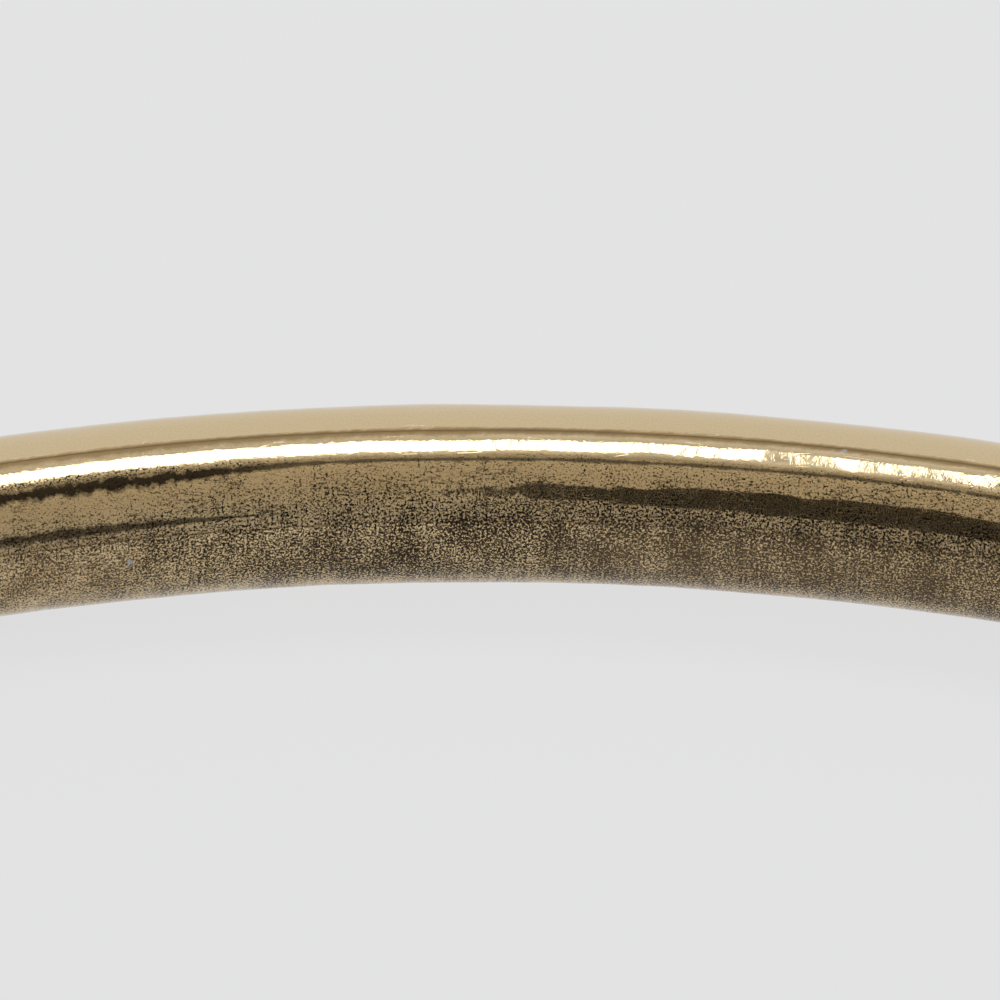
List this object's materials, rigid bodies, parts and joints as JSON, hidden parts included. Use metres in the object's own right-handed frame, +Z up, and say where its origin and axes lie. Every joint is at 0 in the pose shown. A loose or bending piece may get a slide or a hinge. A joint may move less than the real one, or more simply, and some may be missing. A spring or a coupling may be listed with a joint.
{
  "type": "bangle bracelet",
  "caption": "Slender round hinged bangle: two hollow half rings of gold-coloured metal joined by a barrel hinge and a spring-tongue box clasp.",
  "frame": {"origin": "under the middle of the closed ring, on the surface it lies on", "axes": "+Z up along the ring's axis, -X to the hinge, +X to the clasp, +Y to the middle of the back half"},
  "size_m": [0.0654, 0.0648, 0.0024],
  "materials": {
    "polished_gold": "polished, fine scratches and small dents",
    "tarnished_gold": "worn gold layer with dense brown tarnish specks",
    "fitting_gold": "satin, tarnished in the corners",
    "spring_gold": "drawn strip, fine lengthwise lines",
    "pin_metal": "turned, riveted ends"
  },
  "bodies": {
    "back_half": {"back_outer_shell": "polished_gold", "back_inner_shell": "tarnished_gold", "back_hinge_plug": "fitting_gold", "back_knuckle_middle": "fitting_gold", "back_clasp_plug": "fitting_gold", "tongue_base_leaf": "spring_gold"},
    "front_half": {"front_outer_shell": "polished_gold", "front_inner_shell": "tarnished_gold", "front_hinge_plug": "fitting_gold", "front_knuckle_lower": "fitting_gold", "front_knuckle_upper": "fitting_gold", "hinge_pin": "pin_metal", "front_mouth_plate": "fitting_gold"},
    "clasp_leaf": {"tongue_spring_leaf": "spring_gold", "thumb_tab": "fitting_gold"}
  },
  "joints": [
    {"name": "bangle_hinge", "type": "hinge", "parent": "back_half", "child": "front_half", "pos_m": [-0.03195, 0, 0.0012], "axis": [0, 0, -1], "range_deg": [0, 65]},
    {"name": "leaf_press", "type": "hinge", "parent": "back_half", "child": "clasp_leaf", "pos_m": [0.0311, -0.0039, 0.0012], "axis": [0, 0, 1], "range_deg": [0, 5], "stiffness_Nm_per_rad": 0.02}
  ]
}
